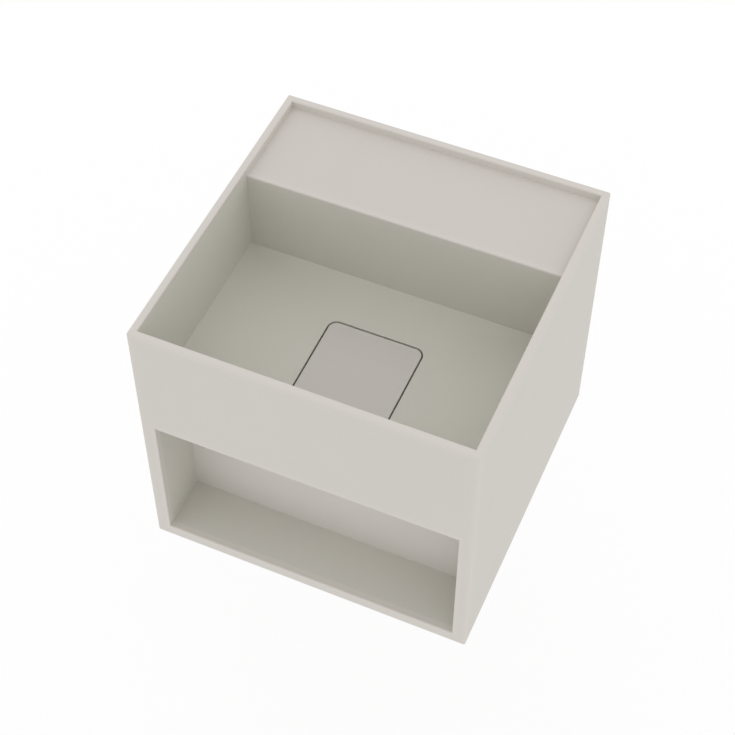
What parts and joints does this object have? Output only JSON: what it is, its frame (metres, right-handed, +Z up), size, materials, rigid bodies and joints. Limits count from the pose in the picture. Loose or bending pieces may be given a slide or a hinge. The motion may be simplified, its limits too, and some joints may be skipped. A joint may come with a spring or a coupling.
{
  "type": "washbasin",
  "caption": "Square wall-hung hand basin in solid surface with a deck, a flush drain cover over a concealed waste and bottle trap, and an open niche in its front.",
  "frame": {"origin": "middle of the footprint, level with the lower edges of the side sheets", "axes": "+Z up, +Y towards the wall, +X to the right seen from the front"},
  "size_m": [0.4, 0.4, 0.3735],
  "materials": {
    "solid_surface": "cast solid surface, sanded matte, warm greige",
    "chromed_brass": "polished chrome plate on brass",
    "stainless_steel": "satin stainless steel",
    "black_rubber": "matte moulded rubber",
    "white_polypropylene": "moulded polypropylene, satin white"
  },
  "bodies": {
    "root": {"front_panel": "solid_surface", "left_side_panel": "solid_surface", "right_side_panel": "solid_surface", "back_panel": "solid_surface", "deck_panel": "solid_surface", "bowl_rear_wall": "solid_surface", "bowl_floor": "solid_surface", "niche_floor": "solid_surface", "niche_back": "solid_surface", "niche_left_cheek": "solid_surface", "niche_right_cheek": "solid_surface", "niche_ceiling": "solid_surface", "drain_tray": "solid_surface", "hanger_rail": "solid_surface", "rear_tie_rail": "solid_surface", "waste_body": "chromed_brass", "waste_nut": "chromed_brass", "waste_grid": "stainless_steel", "grid_screw": "stainless_steel", "slip_washer": "stainless_steel", "flange_seal": "black_rubber", "tail_cone_seal": "black_rubber", "union_washer": "black_rubber", "trap_top_seal": "black_rubber", "outlet_seal": "black_rubber", "union_nut": "white_polypropylene", "dip_tube": "white_polypropylene", "trap_body": "white_polypropylene", "trap_top_nut": "white_polypropylene", "outlet_nut": "white_polypropylene", "outlet_pipe": "white_polypropylene"},
    "cover": {"drain_cover": "solid_surface", "cover_feet": "black_rubber"},
    "cup_seal_ring": {"cup_seal": "black_rubber"},
    "cup": {"trap_cup": "white_polypropylene"}
  },
  "joints": [
    {"name": "drain_cover_lift", "type": "slide", "parent": "root", "child": "cover", "axis": [0, 0, 1], "range_m": [0, 0.15]},
    {"name": "cup_thread_travel", "type": "slide", "parent": "root", "child": "cup_seal_ring", "axis": [0, 0, -1], "range_m": [0, 0.012]},
    {"name": "cup_unscrew", "type": "hinge", "parent": "cup_seal_ring", "child": "cup", "pos_m": [0, -0.0526, 0.05], "axis": [0, 0, -1], "range_deg": [0, 864]}
  ],
  "couplings": [
    {"joint": "cup_thread_travel", "follows": "cup_unscrew", "m_per_rad": 0.00079577}
  ]
}
